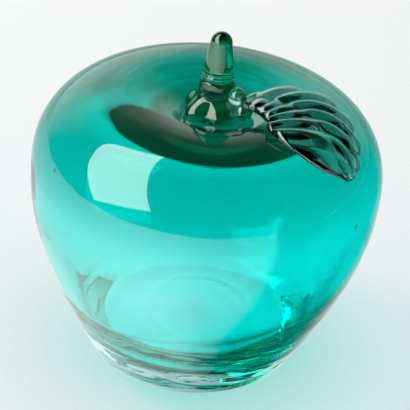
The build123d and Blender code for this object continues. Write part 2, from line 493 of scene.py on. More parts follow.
@dataclass(frozen=True)
class CrownDepthAndGlow:
    """The depth of the colour, dark and streaked round the crown, and a painted glow for the light it
    scatters.
    """

    behind: Span = (-0.008, 0.006)
    behind_reach: Span = (0.038, 0.052)
    streak_scale: float = 160.0
    streak_levels: Span = (0.3, 0.7)
    streak_least: float = 0.5
    right_side: Span = (0.012, 0.034)
    right_share: float = 0.45
    belt_height: Span = (0.064, 0.078)
    belt_reach: Span = (0.036, 0.044)
    belt_share: float = 0.34
    dimple_reach: Span = (0.019, 0.023)
    upper_part: Span = (0.058, 0.07)
    lit_reach: Span = (0.036, 0.048)
    lit_height: Span = (0.07, 0.08)
    tint: Triple = (0.8, 0.3, 0.23)
    # Colour of the painted glow, given to the glass as emission.
    painted_glow: Triple = (0.0, 0.014, 0.0085)

    def build(self) -> Tree:
        """Group that gives the colour and the painted glow as two colours."""
        wire, given = new_group("Crown depth", {"Vector": VECTOR}, {"Color": COLOUR, "Scattered": COLOUR})
        x, y, z = wire.split(given["Vector"])
        radius = wire.reach(x, y)
        streak = wire.noise(wire.ringed(given["Vector"]), self.streak_scale, 3.0, 0.6)
        back = wire.product(
            wire.ramp(y, self.behind),
            wire.ramp(radius, self.behind_reach, 1.0, 0.0),
            wire.ramp(streak, self.streak_levels, self.streak_least, 1.0),
            wire.ramp(x, self.right_side, 1.0, self.right_share),
        )
        belt = wire.ramp(z, self.belt_height, 0.0, self.belt_share)
        belt = wire.product(belt, wire.ramp(radius, self.belt_reach))
        dimple = wire.ramp(radius, self.dimple_reach, 1.0, 0.0)
        most = wire.math("MAXIMUM", wire.math("MAXIMUM", back, belt), dimple)
        colour = wire.mix(wire.product(most, wire.ramp(z, self.upper_part)), WHITE, (*self.tint, 1.0))
        # Painted glow: a faint teal emission over the crown's middle, in place of light.
        lit = wire.product(wire.ramp(radius, self.lit_reach, 1.0, 0.0), wire.ramp(z, self.lit_height))
        wire.node("NodeGroupOutput", Color=colour, Scattered=wire.scaled(self.painted_glow, lit))
        return wire.tree


@dataclass(frozen=True)
class BaseStreaks:
    """The folds of the heavy base, the ring pushed up in its floor, and the green drawn into it."""

    front: Span = (-0.012, 0.002)
    side_slope: float = 0.5
    side_edge: Span = (0.031, 0.0335)
    fold_squeeze: float = 0.45
    fold_scale: float = 62.0
    fold_roughness: float = 0.4
    fold_twist: float = 0.8
    fold_fade: Span = (0.01, 0.03)
    vein_squeeze: float = 0.3
    vein_slant: float = 0.22
    vein_scale: float = 150.0
    vein_twist: float = 0.6
    vein_levels: Span = (0.42, 0.62)
    vein_least: float = 0.5
    vein_side: Span = (-0.014, 0.012)
    vein_edge: Span = (-0.002, 0.0022)
    cord_turn: float = -0.0154
    cord_height: float = 0.0302
    cord_climb: float = 0.18
    cord_fall: float = 15.4
    cord_width: Span = (0.0003, 0.0013)
    cord_share: float = 0.4
    ring_radius: float = 0.0175
    ring_width: Span = (0.0, 0.0022)
    ring_rise: float = 0.3
    ring_low: Span = (0.004, 0.006)
    ring_high: Span = (0.016, 0.018)

    def build(self) -> Tree:
        """Group that gives the folds and the ring as a height, and the green as a mask."""
        wire, given = new_group("Base streaks", {"Vector": VECTOR}, {"Height": NUMBER, "Green": NUMBER})
        x, y, z = wire.split(given["Vector"])
        radius, front = wire.reach(x, y), wire.ramp(y, self.front, 1.0, 0.0)
        outside = wire.ramp(wire.math("SUBTRACT", radius, wire.product(z, self.side_slope)), self.side_edge)
        flat = wire.vector(wire.product(x, self.fold_squeeze), wire.product(y, self.fold_squeeze), z)
        fold = wire.noise(flat, self.fold_scale, 1.0, self.fold_roughness, self.fold_twist)
        folds = wire.product(fold, outside, front, wire.ramp(z, self.fold_fade, 1.0, 0.0))
        gap = wire.math("ABSOLUTE", wire.math("SUBTRACT", radius, self.ring_radius))
        ring = wire.ramp(gap, self.ring_width, self.ring_rise, 0.0)
        ring.node.interpolation_type = "SMOOTHSTEP"
        ring = wire.product(ring, wire.ramp(z, self.ring_low), wire.ramp(z, self.ring_high, 1.0, 0.0))
        slant = wire.math("SUBTRACT", z, wire.product(x, self.vein_slant))
        drawn = wire.vector(wire.product(x, self.vein_squeeze), wire.product(y, self.vein_squeeze), slant)
        streak = wire.noise(drawn, self.vein_scale, 2.0, twist=self.vein_twist)
        streak = wire.ramp(streak, self.vein_levels, 1.0, self.vein_least)
        off = wire.math("SUBTRACT", x, self.cord_turn)
        climb = wire.product(wire.math("MAXIMUM", off, 0.0), self.cord_climb)
        fall = wire.product(off, wire.math("MINIMUM", off, 0.0), -self.cord_fall)
        above = wire.math("SUBTRACT", z, wire.math("ADD", wire.math("ADD", climb, fall), self.cord_height))
        veins = wire.product(streak, wire.ramp(x, self.vein_side), wire.ramp(above, self.vein_edge, 1.0, 0.0))
        cord = wire.ramp(wire.math("ABSOLUTE", above), self.cord_width, self.cord_share, 0.0)
        green = wire.product(wire.math("MAXIMUM", veins, cord), front, outside)
        wire.node("NodeGroupOutput", Height=wire.math("ADD", folds, ring), Green=green)
        return wire.tree


@dataclass(frozen=True)
class Room:
    """How bright the room is along a way out from the apple.

    The floor and back give levels by heading in degrees, with 0 towards the front and 90 to the right,
    below and above the horizon. The rise and wall give shares of them by height in degrees. The shade is
    how strongly the apple's own teal shadow on the right colours the table.
    """

    name: str
    floor: Stops
    rise: Stops
    back: Stops
    wall: Stops
    shade: float = 0.0
    horizon: Span = (-0.5, 0.5)
    shade_headings: Stops = ((-180, 0), (38, 0), (50, 1), (138, 1), (160, 0), (180, 0))
    shade_edge: Span = (-1.0, -0.2)
    shade_colour: Triple = (0.01, 0.62, 0.57)

    def build(self) -> Tree:
        """Group that takes a way and gives the room's colour along it."""
        wire, given = new_group(self.name, {"Way": VECTOR}, {"Color": COLOUR})
        way = wire.node("ShaderNodeVectorMath", {"operation": "NORMALIZE"}, Vector=given["Way"])
        x, y, z = wire.split(way.outputs[0])
        heading = wire.product(wire.math("ARCTAN2", x, wire.product(y, -1.0)), DEGREES)
        height = wire.product(wire.math("ARCSINE", z), DEGREES)
        below = wire.product(wire.graph(heading, self.floor), wire.graph(height, self.rise))
        above = wire.product(wire.graph(heading, self.back), wire.graph(height, self.wall))
        level = wire.ramp(height, self.horizon, below, above)
        shade = wire.ramp(height, self.shade_edge, self.shade, 0.0)
        shade = wire.product(wire.graph(heading, self.shade_headings), shade)
        tint = wire.mix(shade, WHITE, (*self.shade_colour, 1.0))
        wire.node("NodeGroupOutput", Color=wire.scaled(tint, level))
        return wire.tree


# Glasses


@dataclass(frozen=True)
class GlassFinish:
    """One glass: how it bends, tints and dims light, and the marks of its making."""

    name: str
    tint: Triple
    dims_per_mm: Triple = (0.0, 0.0, 0.0)
    ior: float = 1.5
    coat: float = 0.0
    lamp_tint: Triple = (0.94, 0.97, 0.97)
    tint_spread: float = 0.06
    tint_scale_share: float = 0.6
    smear_roughness: float = 0.03
    smear_scale: float = 60.0
    dust_scale: float = 900.0
    swell_scale: float = 45.0
    cord_scale: float = 420.0
    cord_share: float = 0.1
    wave_depth: float = 0.25
    axis: Axis = Axis.RINGS
    deep_crown: bool = False
    base_folds: float = 0.0
    fold_tint: Triple = (0.005, 0.09, 0.035)

    def build(self, effects: dict[str, Tree]) -> bpy.types.Material:
        """The material.

        Args:
            effects: The shared node groups by name.

        Returns:
            The material, with glass, a clear way for lamp rays, and the tint of its depth.
        """
        material = bpy.data.materials.new(self.name)
        wire = cleared(material)
        place = wire.node("ShaderNodeTexCoord").outputs["Object"]
        rise = wire.group(
            effects["waves"],
            Vector=place,
            Swell_Scale=self.swell_scale,
            Cord_Scale=self.cord_scale,
            Cord_Share=self.cord_share,
            Around=float(self.axis is Axis.RINGS),
        )["Height"]
        marks = wire.group(
            effects["marks"], Vector=place, Smear_Scale=self.smear_scale, Dust_Scale=self.dust_scale
        )
        ends = [(*(min(1.0, c * (1 + way * self.tint_spread)) for c in self.tint), 1.0) for way in (-1, 1)]
        shade = wire.mix(wire.noise(place, self.swell_scale * self.tint_scale_share, 2.0), *ends)
        painted_glow = BLACK
        if self.base_folds:
            folds = wire.group(effects["folds"], Vector=place)
            rise = wire.math("ADD", rise, wire.product(folds["Height"], self.base_folds / self.wave_depth))
            shade = wire.mix(folds["Green"], shade, (*self.fold_tint, 1.0))
        # The crown's deeper colour comes with a painted glow, given as emission.
        if self.deep_crown:
            shade, painted_glow = wire.group(effects["crown"], Vector=place)
        bump = wire.node("ShaderNodeBump", Height=rise, Strength=1.0, Distance=self.wave_depth * MM)
        glass = wire.node(
            "ShaderNodeBsdfPrincipled",
            Base_Color=shade,
            Roughness=wire.ramp(marks["Mask"], (0.0, 1.0), 0.0, self.smear_roughness),
            IOR=self.ior,
            Coat_Weight=self.coat,
            Transmission_Weight=1.0,
            # Emission is the painted glow, on only with the crown's depth.
            Emission_Color=painted_glow,
            Emission_Strength=float(self.deep_crown),
            Normal=bump.outputs[0],
        )
        clear = wire.node("ShaderNodeBsdfTransparent", Color=(*self.lamp_tint, 1.0))
        path = wire.node("ShaderNodeLightPath").outputs
        lamp_ray = wire.math("MAXIMUM", path["Is Shadow Ray"], path["Is Diffuse Ray"])
        both = wire.filled(wire.node("ShaderNodeMixShader"), lamp_ray, glass.outputs[0], clear.outputs[0])
        end = wire.node("ShaderNodeOutputMaterial", Surface=both)
        most = max(self.dims_per_mm)
        if most:
            tint = (*(1 - dim / most for dim in self.dims_per_mm), 1.0)
            depth = wire.node("ShaderNodeVolumeAbsorption", Color=tint, Density=most / MM)
            wire.set(end.inputs["Volume"], depth.outputs[0])
        return material


@dataclass(frozen=True)
class Finishes:
    """The glasses of the apple."""

    casing: GlassFinish = GlassFinish(
        "casing_glass",
        tint=(0.985, 1.0, 0.995),
        dims_per_mm=(0.01, 0.0015, 0.0022),
        lamp_tint=(0.9, 0.985, 0.98),
        base_folds=1.6,
    )
    bubble: GlassFinish = GlassFinish(
        "bubble_glass",
        tint=(1.0, 1.0, 1.0),
        dims_per_mm=(4.0, 0.088, 0.128),
        ior=1.0,
        lamp_tint=(1.0, 1.0, 1.0),
        smear_roughness=0.0,
        wave_depth=0.0,
        # Deep crown colour and its painted glow.
        deep_crown=True,
    )
    stem: GlassFinish = GlassFinish(
        "stem_glass",
        tint=(0.97, 1.0, 0.99),
        dims_per_mm=(0.7, 0.06, 0.11),
        coat=0.35,
        swell_scale=120.0,
        wave_depth=0.12,
        axis=Axis.ALONG,
    )
    leaf: GlassFinish = GlassFinish(
        "leaf_glass",
        tint=(0.97, 1.0, 0.99),
        dims_per_mm=(0.42, 0.17, 0.2),
        ior=1.58,
        coat=0.9,
        swell_scale=160.0,
        wave_depth=0.1,
    )
    joint: GlassFinish = GlassFinish(
        "joint_glass",
        tint=(0.96, 1.0, 0.98),
        dims_per_mm=(0.1, 0.03, 0.04),
        ior=1.58,
        coat=0.5,
        swell_scale=260.0,
        wave_depth=0.2,
    )
    seed: GlassFinish = GlassFinish(
        "seed_glass", tint=(0.85, 0.95, 0.93), ior=1.8, smear_roughness=0.0, wave_depth=0.0
    )

    def build(self) -> Glass:
        """The materials by name, with the effects that they share built once."""
        kinds = {"waves": BlownWaves, "marks": HandMarks, "crown": CrownDepthAndGlow, "folds": BaseStreaks}
        effects = {key: kind().build() for key, kind in kinds.items()}
        return {item.name: getattr(self, item.name).build(effects) for item in fields(self)}


# Geometry Nodes


class NodeMould:
    """A Geometry Nodes tree with named inputs, run over a piece and made plain."""

    def __init__(self, name: str, inputs: dict[str, str]) -> None:
        """Start the tree.

        Args:
            name: The tree's name.
            inputs: Names and socket types of its inputs, apart from the geometry and its finish.
        """
        self.name = name
        self.tree = bpy.data.node_groups.new(name, "GeometryNodeTree")
        self.wire = Wiring(self.tree)
        new = self.tree.interface.new_socket
        new("Geometry", in_out="OUTPUT", socket_type="NodeSocketGeometry")
        kinds = {"Geometry": "NodeSocketGeometry", **inputs, "Finish": "NodeSocketMaterial"}
        self.sockets = {
            key: new(key, in_out="INPUT", socket_type=kind).identifier for key, kind in kinds.items()
        }
        self.given = self.wire.node("NodeGroupInput").outputs

    def finish(self, geometry: Socket) -> "NodeMould":
        """End the tree in plain mesh with its material."""
        real = self.wire.node("GeometryNodeRealizeInstances", Geometry=geometry).outputs[0]
        dressed = self.wire.node("GeometryNodeSetMaterial", Geometry=real, Material=self.given["Finish"])
        self.wire.node("NodeGroupOutput", Geometry=dressed.outputs[0])
        return self

    def press(self, piece: Piece, values: dict[str, object]) -> Piece:
        """Run the tree on a piece.

        Args:
            piece: The piece to run it on; its mesh is replaced by the result.
            values: The tree's inputs by name.

        Returns:
            The same piece, with a plain mesh and no modifier.
        """
        modifier = piece.modifiers.new(self.name, "NODES")
        modifier.node_group = self.tree
        for key, value in values.items():
            modifier[self.sockets[key]] = value
        graph = bpy.context.evaluated_depsgraph_get()
        mesh = bpy.data.meshes.new_from_object(piece.evaluated_get(graph), depsgraph=graph)
        piece.modifiers.remove(modifier)
        piece.data = mesh
        mesh.name = piece.name
        mesh.polygons.foreach_set("use_smooth", [True] * len(mesh.polygons))
        return piece


def rib_mould() -> NodeMould:
    """Tree that raises the leaf's ribs along the stations kept on its mesh."""
    mould = NodeMould("Leaf ribs", dict.fromkeys(("Rib Count", "Rib Height", "Lean"), NUMBER))
    wire, given = mould.wire, mould.given
    stored = (
        wire.node("GeometryNodeInputNamedAttribute", {"data_type": "FLOAT"}, Name=name)
        for name in ("along", "raised")
    )
    along, raised = (node.outputs[0] for node in stored)
    crest = wire.math("ABSOLUTE", wire.math("COSINE", wire.product(along, given["Rib Count"], pi)))
    middle = wire.math("SUBTRACT", wire.product(along, 2.0), 1.0)
    fade = wire.math("SUBTRACT", 1.0, wire.math("POWER", wire.math("ABSOLUTE", middle), 6.0))
    lift = wire.product(wire.product(crest, fade), wire.product(raised, given["Rib Height"]))
    over, rise = (wire.product(lift, wire.math(way, given["Lean"])) for way in ("SINE", "COSINE"))
    offset = wire.vector(over, 0.0, rise)
    moved = wire.node("GeometryNodeSetPosition", Geometry=given["Geometry"], Offset=offset)
    return mould.finish(moved.outputs[0])


def seed_mould() -> NodeMould:
    """Tree that scatters small seeds over a sheet, each drawn out a little along the wall."""
    sizes = dict.fromkeys(("Density", "Least Radius", "Most Radius", "Drawn Out"), NUMBER)
    mould = NodeMould("Seeds in the glass", {"Seed": "NodeSocketInt", **sizes})
    wire, given = mould.wire, mould.given
    chance = {"Density": given["Density"], "Seed": given["Seed"]}
    spots = wire.node("GeometryNodeDistributePointsOnFaces", Mesh=given["Geometry"], **chance).outputs
    seed = wire.node("GeometryNodeMeshIcoSphere", Radius=1.0, Subdivisions=2).outputs[0]
    size = wire.node("FunctionNodeRandomValue", {"data_type": "FLOAT"}, Seed=given["Seed"])
    wire.set(size.inputs[2], given["Least Radius"])
    wire.set(size.inputs[3], given["Most Radius"])
    radius = size.outputs[1]
    shape = wire.vector(radius, wire.product(radius, given["Drawn Out"]), radius)
    places = {"Points": spots["Points"], "Rotation": spots["Rotation"]}
    placed = wire.node("GeometryNodeInstanceOnPoints", Instance=seed, Scale=shape, **places)
    return mould.finish(placed.outputs[0])


# Sub-assemblies


@dataclass
class BodyShape:
    """Sizes and curves of the blown body, in millimetres."""

    radius: float = 57.5
    widest_height: float = 67.0
    crown_rise: float = 26.4
    rim_radius: float = 29.0
    base_radius: float = 34.7
    base_edge_radius: float = 2.4
    side_rise: float = radians(61.3)
    lean: float = radians(2.65)
    low_side_pull: float = 0.66
    low_belly_pull: float = 0.22
    high_belly_pull: float = 0.74
    dimple_depth: float = 6.0
    dimple_floor_radius: float = 6.6
    outer_pulls: Triple = (0.45, 0.5, 0.12)
    lining_pulls: Triple = (0.15, 0.36, 0.30)
    lining_spread: float = 7.0
    lining_side_start: float = 0.3
    lining_wall_shares: tuple[float, ...] = (1.12, 1.08, 1.0, 1.0)
    bowl_floor_pull: float = 0.6
    bowl_side_pull: float = 0.5
    floor_edge_radius: float = 18.0
    floor_dome_rise: float = 3.4
    disc_radius: float = 17.5
    disc_depth: float = 1.5
    ring_end_share: float = 0.995
    side_rows: int = 80
    edge_rows: int = 10
    flat_rows: int = 8

    @property
    def rim_height(self) -> float:
        """Height of the rim round the dimple."""
        return self.widest_height + self.crown_rise

    @property
    def pad_bottom(self) -> float:
        """Height of the dimple's floor."""
        return self.rim_height - self.dimple_depth

    @property
    def base_centre(self) -> float:
        """Where the leaned axis meets the table."""
        return -self.widest_height * tan(self.lean)

    def leaned(self, points: Array) -> Array:
        """Points tilted with the body.

        Args:
            points: Any array of places, upright.

        Returns:
            The same places, turned about the middle of the widest section.
        """
        tilted = points.copy()
        x, z = points[..., 0], points[..., 2] - self.widest_height
        tilted[..., 0] = x * cos(self.lean) + z * sin(self.lean)
        tilted[..., 2] = self.widest_height - x * sin(self.lean) + z * cos(self.lean)
        return tilted

    def low_curve(self) -> list[Span]:
        """Control points from the side's foot up to the belly."""
        pull = self.low_side_pull * self.widest_height
        return [
            (self.base_radius, 0.0),
            (self.base_radius + pull * cos(self.side_rise), pull * sin(self.side_rise)),
            (self.radius, self.widest_height * (1 - self.low_belly_pull)),
            (self.radius, self.widest_height),
        ]

    def crest(self, lining: bool) -> tuple[float, Triple]:
        """Crest of the outside, or of a lining, which lies further out.

        Args:
            lining: Whether it is a lining's.

        Returns:
            Its radius, and its pulls: out, in, and at the dimple's floor.
        """
        spread = self.lining_spread if lining else 0.0
        return self.rim_radius + spread, self.lining_pulls if lining else self.outer_pulls

    def high_curve(self, side: float = 0.0, crown: float = 0.0, lining: bool = False) -> list[Span]:
        """Control points from the belly to the crest.

        Args:
            side: How far the curve lies in at the belly.
            crown: How far it lies below the rim.
            lining: Whether it crests as a lining does, further out.

        Returns:
            The four points.
        """
        belly, rim = self.radius - side, self.rim_height - crown
        crest, (pull, _, _) = self.crest(lining)
        shoulder = self.widest_height + self.high_belly_pull * (self.crown_rise - crown)
        near = crest + pull * (belly - crest)
        return [(belly, self.widest_height), (belly, shoulder), (near, rim), (crest, rim)]

    def inner_curve(self, crown: float = 0.0, dimple: float = 0.0, lining: bool = False) -> list[Span]:
        """Control points from the crest to the dimple's floor.

        Args:
            crown: How far the curve lies below the rim.
            dimple: How far it lies below the dimple's floor.
            lining: Whether it crests as a lining does, further out.

        Returns:
            The four points.
        """
        crest, (_, near, far) = self.crest(lining)
        end, rim, floor = self.dimple_floor_radius, self.rim_height - crown, self.pad_bottom - dimple
        run = crest - end
        return [(crest, rim), (crest - near * run, rim), (end + far * run, floor), (end, floor)]

    def crown_profile(
        self, side: float = 0.0, crown: float = 0.0, dimple: float = 0.0, lining: bool = False
    ) -> Array:
        """Profile from the middle of the dimple over the crest down to the belly, moved in by these."""
        inner = bezier(self.inner_curve(crown, dimple, lining), 160)[::-1]
        high = bezier(self.high_curve(side, crown, lining), 200)[::-1]
        return eased(joined(np.array([(0.0, inner[0, 1]), inner[0]]), inner, high), 2)

    def dimple_height(self, radius: Array) -> Array:
        """Height of the dimple's surface at these radii."""
        curve = bezier(self.inner_curve(), 160)[::-1]
        return np.interp(radius, curve[:, 0], curve[:, 1])

    def shoulder_height(self, radius: Array) -> Array:
        """Height of the body's outside at these radii, level across the dimple."""
        curve = bezier(self.high_curve(), 400)[::-1]
        return np.interp(radius, curve[:, 0], curve[:, 1])

    def side_radius(self, height: float) -> float:
        """Radius of the body's outside at this height."""
        side = joined(bezier(self.low_curve(), 200), bezier(self.high_curve(), 200))
        return float(np.interp(height, side[:, 1], side[:, 0]))

    def side_column(self, turn: float) -> Array:
        """One line down the side, round the foot's edge and in over the standing ring.

        Args:
            turn: Where round the axis it runs.

        Returns:
            Its points, leaned, as far as the ground disc.
        """
        middle = np.array([self.base_centre, 0.0, 0.0])
        back = self.base_edge_radius / tan((pi - self.side_rise) / 2)

        def at(t: Array) -> Array:
            """Points of the side at these places on its curve, leaned."""
            return self.leaned(stood(curve_at(self.low_curve(), t), turn))

        table = np.linspace(-0.06, 0.2, 400)
        start, low = np.interp([back * sin(self.side_rise), 0.0], at(table)[:, 2], table)
        column = at(np.linspace(1.0, start, self.side_rows + 1)[1:])
        corner = at(np.array([low]))[0] * (1.0, 1.0, 0.0)
        way = (middle - corner) / np.linalg.norm(middle - corner)
        end = corner + way * back
        u = np.linspace(0.0, 1.0, self.edge_rows + 1)[1:, None]
        edge = (1 - u) ** 2 * column[-1] + 2 * u * (1 - u) * corner + u * u * end
        edge[:, 2] = np.maximum(edge[:, 2], 0.0)
        w = np.linspace(0.0, 1.0, self.flat_rows + 1)[1:, None]
        flat = end + (middle - way * self.disc_radius - end) * w * self.ring_end_share
        return np.vstack([column, edge, flat])

    def outer_rings(self, turns: int) -> Array:
        """Rings of the outside, leaned, with a rounded foot and the ground disc.

        Args:
            turns: How many points each ring has.

        Returns:
            Rings from the middle of the dimple to the middle of the base.
        """
        top = self.leaned(turned(spaced(self.crown_profile(), 120), turns))
        rows = np.stack([self.side_column(turn) for turn in around(turns)], 1)
        ground = (self.disc_radius**2 + self.disc_depth**2) / (2 * self.disc_depth)
        reach = self.disc_radius * np.concatenate([[self.ring_end_share, 0.985], np.linspace(0.96, 0.0, 22)])
        rise = self.disc_depth - ground + np.sqrt(ground**2 - reach**2)
        hollow = turned(np.column_stack([reach, rise]), turns)
        start = atan2(rows[-1, 0, 1], rows[-1, 0, 0] - self.base_centre)
        x, y, z = np.moveaxis(hollow, 2, 0)
        across = x * cos(start) - y * sin(start) + self.base_centre
        return np.concatenate([top, rows, np.stack([across, x * sin(start) + y * cos(start), z], 2)])

    def lining_low(self, side: float) -> Array:
        """Control points of a lining's side.

        Args:
            side: How far the lining lies in at the belly.

        Returns:
            The four points, moved in from the later part of the body's own curve.
        """
        points, ends = np.array(self.low_curve()), []
        while len(points):
            ends.append(points[-1])
            points = points[:-1] + (points[1:] - points[:-1]) * self.lining_side_start
        low = np.array(ends[::-1])
        low[:, 0] -= side * np.array(self.lining_wall_shares)
        return low

    def lining_rings(self, wall: Array, grid: Grid) -> Array:
        """Rings of a surface inside the wall, leaned.

        Args:
            wall: How far it lies in at the belly, crown and dimple, and the height of its floor's edge.
            grid: How many points each ring has, and how many rings to give.

        Returns:
            Rings from under the dimple to the middle of the floor.
        """
        side, crown, dimple, floor = wall
        low, edge = self.lining_low(side), self.floor_edge_radius
        reach = edge + self.bowl_floor_pull * (low[0, 0] - edge)
        foot = low[0] - self.bowl_side_pull * (low[1] - low[0])
        bowl = bezier([(edge, floor), (reach, floor), tuple(foot), tuple(low[0])], 120)
        share = np.linspace(1.0, 0.0, 60)
        rise = floor + self.floor_dome_rise * (1 - share * share * (3 - 2 * share))
        bottom = np.column_stack([share * edge, rise])
        crown_part = self.crown_profile(side, crown, dimple, True)
        profile = spaced(joined(crown_part, bezier(low, 160)[::-1], bowl[::-1], bottom), grid[1])
        profile[[0, -1], 0] = 0.0
        return self.leaned(turned(profile, grid[0]))


@dataclass
class Body:
    """The cased blown body: one clear wall with the colour lying in it.

    Each wall is its thickness at the belly, crown, dimple and floor.
    """

    shape: BodyShape = field(default_factory=BodyShape)
    casing_wall: tuple[float, ...] = (2.5, 3.3, 5.5, 9.5)
    colour_wall: tuple[float, ...] = (0.8, 3.3, 3.3, 1.0)
    seam_clearance: float = 0.08
    outside_turns: int = 224
    hollow_grid: Grid = (168, 130)
    colour_grid: Grid = (144, 110)

    def lining(self, share: float, grid: Grid) -> Array:
        """Rings inside the wall, at this share of the colour's thickness."""
        return self.shape.lining_rings(np.add(self.casing_wall, share * np.array(self.colour_wall)), grid)

    def wall(self) -> Piece:
        """Clear wall, from the outside to the hollow."""
        hollow = Shell(self.lining(1.0, self.hollow_grid), inward=True)
        return make_piece("apple_wall", [Shell(self.shape.outer_rings(self.outside_turns)), hollow])

    def colour(self) -> Piece:
        """Coloured film that lies in the wall, just outside the hollow, and casts no shadow."""
        depth = 1.0 - self.seam_clearance / self.colour_wall[0]
        outer, inner = (self.lining(share, self.colour_grid) for share in (0.0, depth))
        film = make_piece("apple_colour", [Shell(outer), Shell(inner, inward=True)])
        film.visible_shadow = False
        return film

    def dress(self, glass: Glass) -> list[Piece]:
        """The wall and its colour, in their glasses."""
        wall = finished(self.wall(), glass["casing"], Slot.CASING, "clear_casing")
        return [wall, finished(self.colour(), glass["bubble"], Slot.BUBBLE, "colour_bubble")]


@dataclass
class Foot:
    """The lobed lump that closes the blowing hole, and its collar."""

    shape: BodyShape = field(default_factory=BodyShape)
    radius: float = 9.6
    waist_radius: float = 6.5
    edge_height: float = 3.4
    waist_height: float = 6.8
    lobe_depth: float = 0.9
    lobe_count: int = 5
    lobe_shares: tuple[float, ...] = (0.3, 1.0, 0.8, 0.3, 0.1, 0.0)
    collar_radius: float = 5.25
    collar_length: float = 6.0
    collar_lip: Stops = ((0.0, 0.0), (0.55, 0.0), (0.9, -0.05), (0.97, -0.14))
    collar_lip_drop: float = 0.3
    offset: float = 0.4
    seat_depth: float = 1.5
    wall_dimple: float = 8.8
    hole_radius: float = 4.6
    plug_sag: float = 1.2
    plug_top_share: float = 0.98
    overlap: float = 0.15
    turns: int = 160

    @property
    def collar_top(self) -> float:
        """Height of the collar's top."""
        return self.shape.pad_bottom + self.waist_height + self.collar_length

    def tables(self) -> tuple[list[float], list[float]]:
        """Heights and radii of the foot's main sections."""
        base, top = self.shape.pad_bottom, self.collar_top
        edge, waist = base + self.edge_height, base + self.waist_height
        heights = [base - self.seat_depth, edge, (edge + waist) / 2, waist, (waist + top) / 2, top]
        wide, neck, collar = self.radius, self.waist_radius, self.collar_radius
        return heights, [wide - self.lobe_depth, wide, (wide + neck) / 2, neck, (neck + collar) / 2, collar]

    def side(self, height: Array, turn: float) -> Array:
        """Radius of the side.

        Args:
            height: The heights to read it at.
            turn: Where round the foot.

        Returns:
            The radius at each height, lobes included.
        """
        heights, radii = self.tables()
        lobe = through(heights, list(self.lobe_shares), height) * self.lobe_depth
        return through(heights, radii, height) + lobe * cos(self.lobe_count * turn)

    def bottom(self, points: Array) -> Array:
        """Height of the seat under these points, a little below the dimple's surface."""
        return self.shape.dimple_height(np.hypot(points[..., 0], points[..., 1])) - self.overlap

    def seat(self, turn: float) -> float:
        """Height at which the side meets the dimple.

        Args:
            turn: Where round the foot.

        Returns:
            The height, settled by repeated looks under the side's foot.
        """
        way, low = np.array([cos(turn), sin(turn)]), self.shape.pad_bottom
        for _ in range(12):
            low = float(self.bottom(way * self.side(np.array([low]), turn)[0] + (self.offset, 0.0)))
        return low

    def column(self, turn: float) -> Array:
        """One line over the collar's lip, down the side and in under the foot.

        Args:
            turn: Where round the foot.

        Returns:
            Its points, upright.
        """
        middle = np.array([self.offset, 0.0, 0.0])
        lip = np.array(self.collar_lip) * (self.collar_radius, 1.0) + (0.0, self.collar_top)
        height = np.linspace(self.collar_top - self.collar_lip_drop, self.seat(turn), 70)
        column = stood(np.vstack([lip, np.column_stack([self.side(height, turn), height])]), turn) + middle
        cap = middle + (column[-1] - middle) * np.linspace(1.0, 0.0, 16)[1:, None]
        cap[:, 2] = self.bottom(cap)
        return np.vstack([column, cap])

    def button(self) -> Array:
        """Rings of the button that sags under the dimple, upright."""
        share, ceiling = np.linspace(0.0, 1.0, 14), self.shape.pad_bottom - self.wall_dimple
        under = np.column_stack([self.hole_radius * share, ceiling - self.plug_sag * (1 - share**2)])
        top = ceiling + self.overlap
        above = np.array([(self.hole_radius * self.plug_top_share, top), (0.0, top)])
        return turned(spaced(np.vstack([under, above])[::-1], 30), 72)

    def dress(self, glass: Glass) -> list[Piece]:
        """The foot as one piece, in its glass."""
        pad = np.stack([self.column(turn) for turn in around(self.turns)], 1)
        piece = make_piece("apple_foot", [Shell(self.shape.leaned(rings)) for rings in (pad, self.button())])
        return [finished(piece, glass["stem"], Slot.STEM, "stem_foot")]


@dataclass
class Stem:
    """The drawn rod with its lap ring and rounded tip."""

    foot: Foot = field(default_factory=Foot)
    length: float = 16.1
    tip_radius: float = 3.5
    low_radius: float = 4.9
    middle_radius: float = 4.45
    ring_height: float = 1.1
    ring_proud: float = 0.35
    end_share: float = 0.97
    overlap: float = 0.12
    turns: int = 144

    def profile(self) -> Array:
        """Profile from the tip down to the end inside the collar."""
        base = self.foot.collar_top
        neck, shoulder = base + 2 * self.ring_height, base + self.length - self.tip_radius
        arc = np.linspace(pi / 2, 0.0, 24)
        dome = np.column_stack([self.tip_radius * np.cos(arc), shoulder + self.tip_radius * np.sin(arc)])
        height = np.linspace(shoulder, neck, 60)
        share = (height - neck) / (shoulder - neck)
        radii = [self.low_radius, self.middle_radius, self.tip_radius]
        rod = np.column_stack([through([0.0, 0.5, 1.0], radii, share), height])
        down = np.linspace(1.0, -1.0, 16)
        swell = self.low_radius + self.ring_proud * (1 - down**2)
        ring = np.column_stack([swell, base + self.ring_height * (1 + down)])
        end = np.array([(self.low_radius * self.end_share, base - self.overlap), (0.0, base - self.overlap)])
        return eased(joined(dome, rod, ring, np.vstack([ring[-1:], end])), 3)

    def dress(self, glass: Glass) -> list[Piece]:
        """The stem as one piece, in its glass."""
        rings = turned(self.profile(), self.turns) + (self.foot.offset, 0.0, 0.0)
        piece = make_piece("apple_stem", [Shell(self.foot.shape.leaned(rings))])
        return [finished(piece, glass["stem"], Slot.STEM, "stem")]


